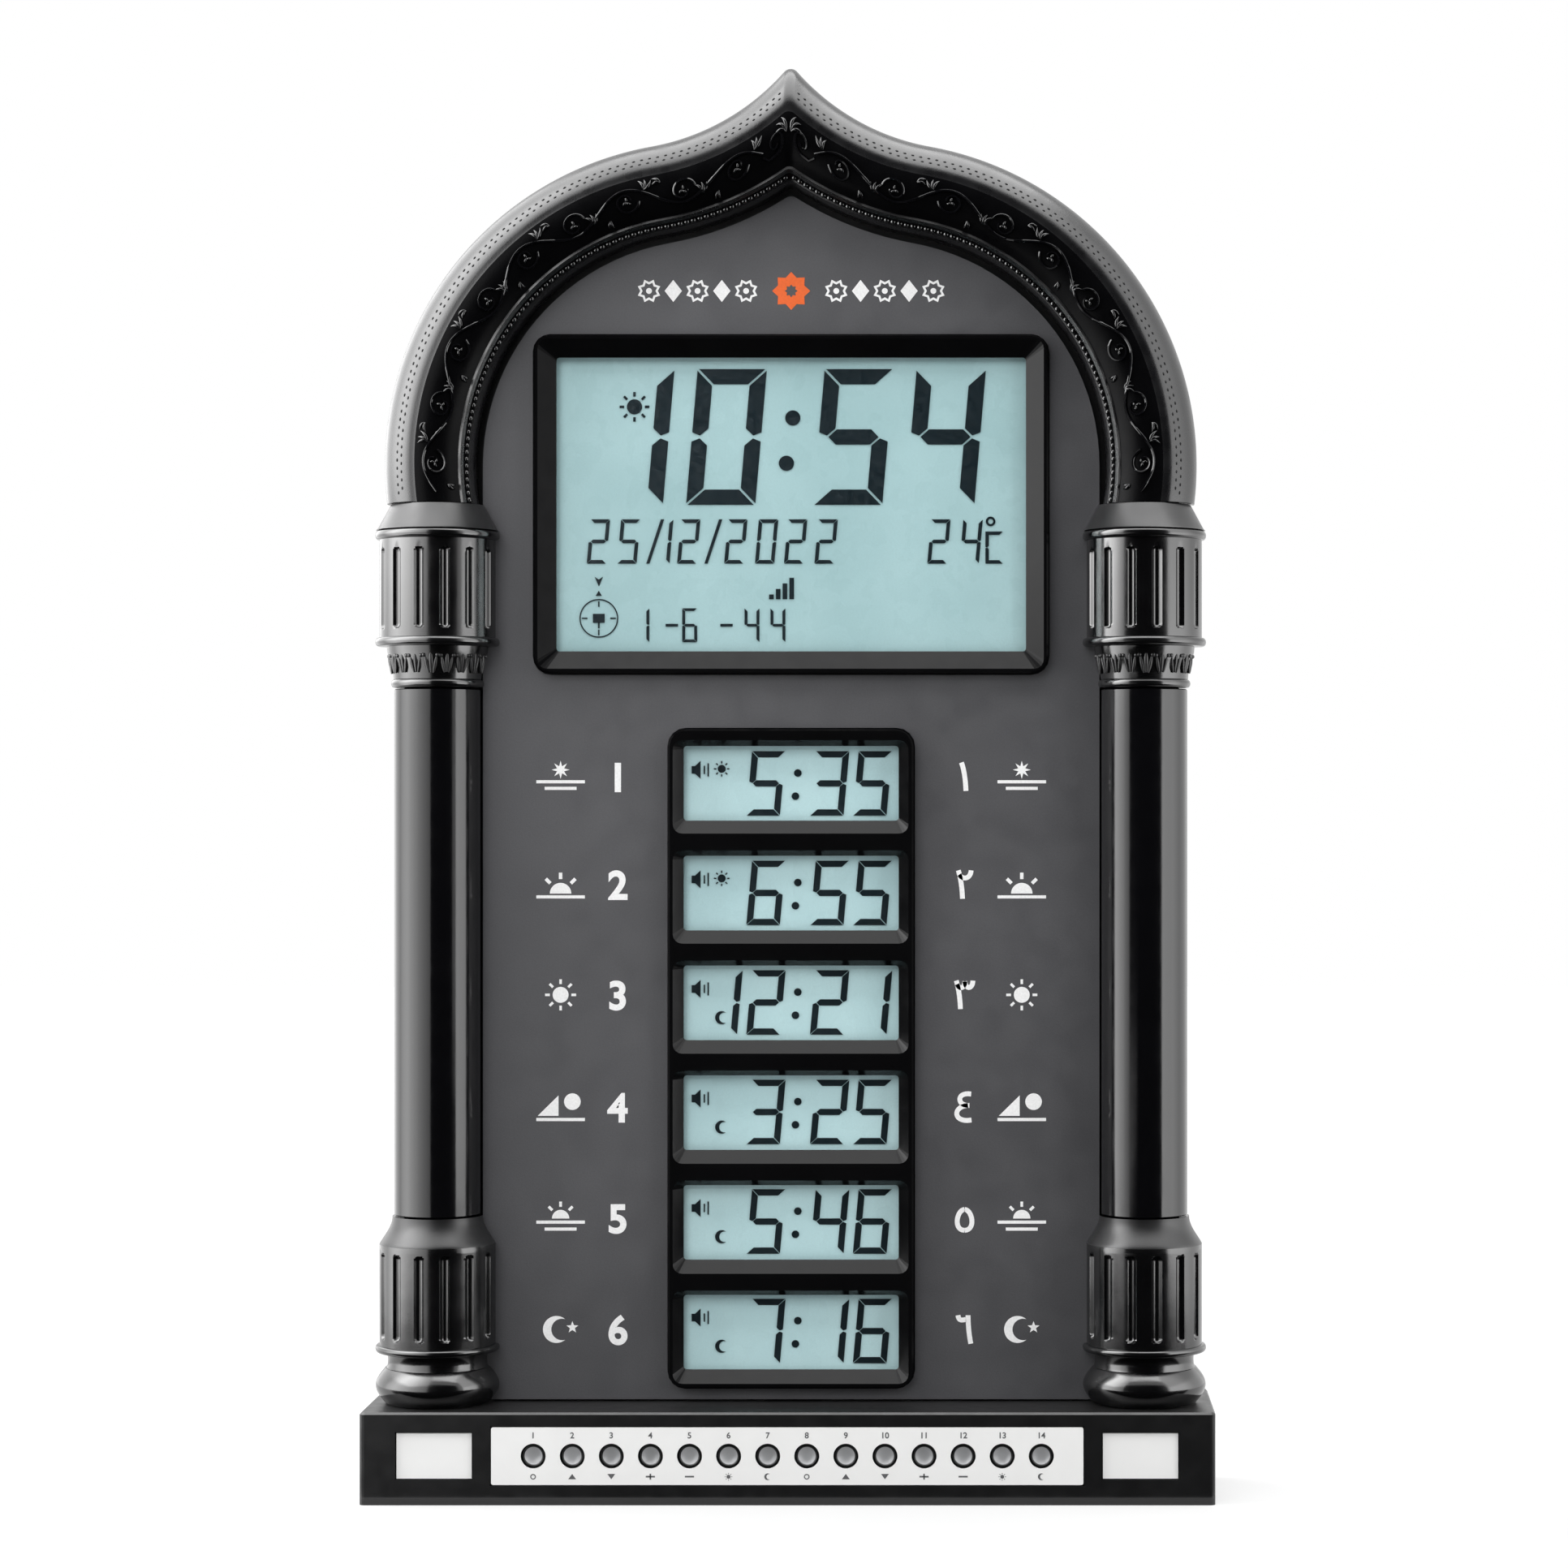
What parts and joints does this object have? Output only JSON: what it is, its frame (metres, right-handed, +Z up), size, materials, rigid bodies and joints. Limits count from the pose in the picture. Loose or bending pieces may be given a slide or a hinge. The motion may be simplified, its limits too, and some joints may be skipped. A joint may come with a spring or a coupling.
{
  "type": "azan clock",
  "caption": "Prayer-time clock with a pointed arch on fluted columns, a large display above a ladder of small ones, and a plinth with round push keys; stands or hangs.",
  "frame": {"origin": "centre of the base's footprint, on the surface the clock stands on", "axes": "+Z up, +X to the right of a viewer in front of the clock, +Y from the front to the back, so the displays face -Y"},
  "size_m": [0.2426, 0.046, 0.4101],
  "materials": {
    "shell": "fine satin black moulded plastic",
    "moulding": "satin black moulded plastic with a soft sheen",
    "shaft": "glossy black moulded plastic",
    "bezel": "glossy black moulded plastic",
    "panel": "matt grey printed sheet",
    "window": "clear polished acrylic",
    "display": "pale blue-green display glass",
    "light_guide": "white light guide",
    "board": "green solder mask",
    "silicone": "matt grey silicone",
    "key": "satin grey moulded plastic",
    "white_print": "satin white styrene sheet",
    "steel": "zinc plated steel",
    "cone": "black pressed paper",
    "cell": "printed metal wrap",
    "contact": "bright nickel strip",
    "ribbon": "grey flat cable insulation",
    "inlet": "black nylon"
  },
  "bodies": {
    "clock": {"front_housing": "shell", "rear_cover": "shell", "base_housing": "shell", "base_cover": "shell", "arch_moulding": "moulding", "capital_left": "moulding", "capital_right": "moulding", "pedestal_left": "moulding", "pedestal_right": "moulding", "shaft_left": "shaft", "shaft_right": "shaft", "main_bezel": "bezel", "row_bezel": "bezel", "face_panel": "panel", "main_window": "window", "row_window": "window", "main_lcd": "display", "row_lcd_1": "display", "row_lcd_2": "display", "row_lcd_3": "display", "row_lcd_4": "display", "row_lcd_5": "display", "row_lcd_6": "display", "main_backlight": "light_guide", "row_backlight": "light_guide", "main_pcb": "board", "row_pcb": "board", "key_pcb": "board", "key_mat": "silicone", "key_strip": "white_print", "inlay_left": "white_print", "inlay_right": "white_print", "speaker_frame": "steel", "case_screw_1": "steel", "case_screw_2": "steel", "case_screw_3": "steel", "case_screw_4": "steel", "speaker_cone": "cone", "battery_1": "cell", "battery_2": "cell", "contact_bridge": "contact", "contact_plus": "contact", "contact_minus": "contact", "key_ribbon": "ribbon", "dc_jack": "inlet"},
    "button_01_body": {"button_01": "key"},
    "button_02_body": {"button_02": "key"},
    "button_03_body": {"button_03": "key"},
    "button_04_body": {"button_04": "key"},
    "button_05_body": {"button_05": "key"},
    "button_06_body": {"button_06": "key"},
    "button_07_body": {"button_07": "key"},
    "button_08_body": {"button_08": "key"},
    "button_09_body": {"button_09": "key"},
    "button_10_body": {"button_10": "key"},
    "button_11_body": {"button_11": "key"},
    "button_12_body": {"button_12": "key"},
    "button_13_body": {"button_13": "key"},
    "button_14_body": {"button_14": "key"},
    "door_body": {"battery_door": "shell"}
  },
  "joints": [
    {"name": "button_01_press", "type": "slide", "parent": "clock", "child": "button_01_body", "axis": [0, 1, 0], "range_m": [0, 0.001], "stiffness_N_per_m": 150},
    {"name": "button_02_press", "type": "slide", "parent": "clock", "child": "button_02_body", "axis": [0, 1, 0], "range_m": [0, 0.001], "stiffness_N_per_m": 150},
    {"name": "button_03_press", "type": "slide", "parent": "clock", "child": "button_03_body", "axis": [0, 1, 0], "range_m": [0, 0.001], "stiffness_N_per_m": 150},
    {"name": "button_04_press", "type": "slide", "parent": "clock", "child": "button_04_body", "axis": [0, 1, 0], "range_m": [0, 0.001], "stiffness_N_per_m": 150},
    {"name": "button_05_press", "type": "slide", "parent": "clock", "child": "button_05_body", "axis": [0, 1, 0], "range_m": [0, 0.001], "stiffness_N_per_m": 150},
    {"name": "button_06_press", "type": "slide", "parent": "clock", "child": "button_06_body", "axis": [0, 1, 0], "range_m": [0, 0.001], "stiffness_N_per_m": 150},
    {"name": "button_07_press", "type": "slide", "parent": "clock", "child": "button_07_body", "axis": [0, 1, 0], "range_m": [0, 0.001], "stiffness_N_per_m": 150},
    {"name": "button_08_press", "type": "slide", "parent": "clock", "child": "button_08_body", "axis": [0, 1, 0], "range_m": [0, 0.001], "stiffness_N_per_m": 150},
    {"name": "button_09_press", "type": "slide", "parent": "clock", "child": "button_09_body", "axis": [0, 1, 0], "range_m": [0, 0.001], "stiffness_N_per_m": 150},
    {"name": "button_10_press", "type": "slide", "parent": "clock", "child": "button_10_body", "axis": [0, 1, 0], "range_m": [0, 0.001], "stiffness_N_per_m": 150},
    {"name": "button_11_press", "type": "slide", "parent": "clock", "child": "button_11_body", "axis": [0, 1, 0], "range_m": [0, 0.001], "stiffness_N_per_m": 150},
    {"name": "button_12_press", "type": "slide", "parent": "clock", "child": "button_12_body", "axis": [0, 1, 0], "range_m": [0, 0.001], "stiffness_N_per_m": 150},
    {"name": "button_13_press", "type": "slide", "parent": "clock", "child": "button_13_body", "axis": [0, 1, 0], "range_m": [0, 0.001], "stiffness_N_per_m": 150},
    {"name": "button_14_press", "type": "slide", "parent": "clock", "child": "button_14_body", "axis": [0, 1, 0], "range_m": [0, 0.001], "stiffness_N_per_m": 150},
    {"name": "battery_door_hinge", "type": "hinge", "parent": "clock", "child": "door_body", "pos_m": [-0.095, 0.0206, 0.0853], "axis": [0, 0, 1], "range_deg": [0, 90]}
  ]
}
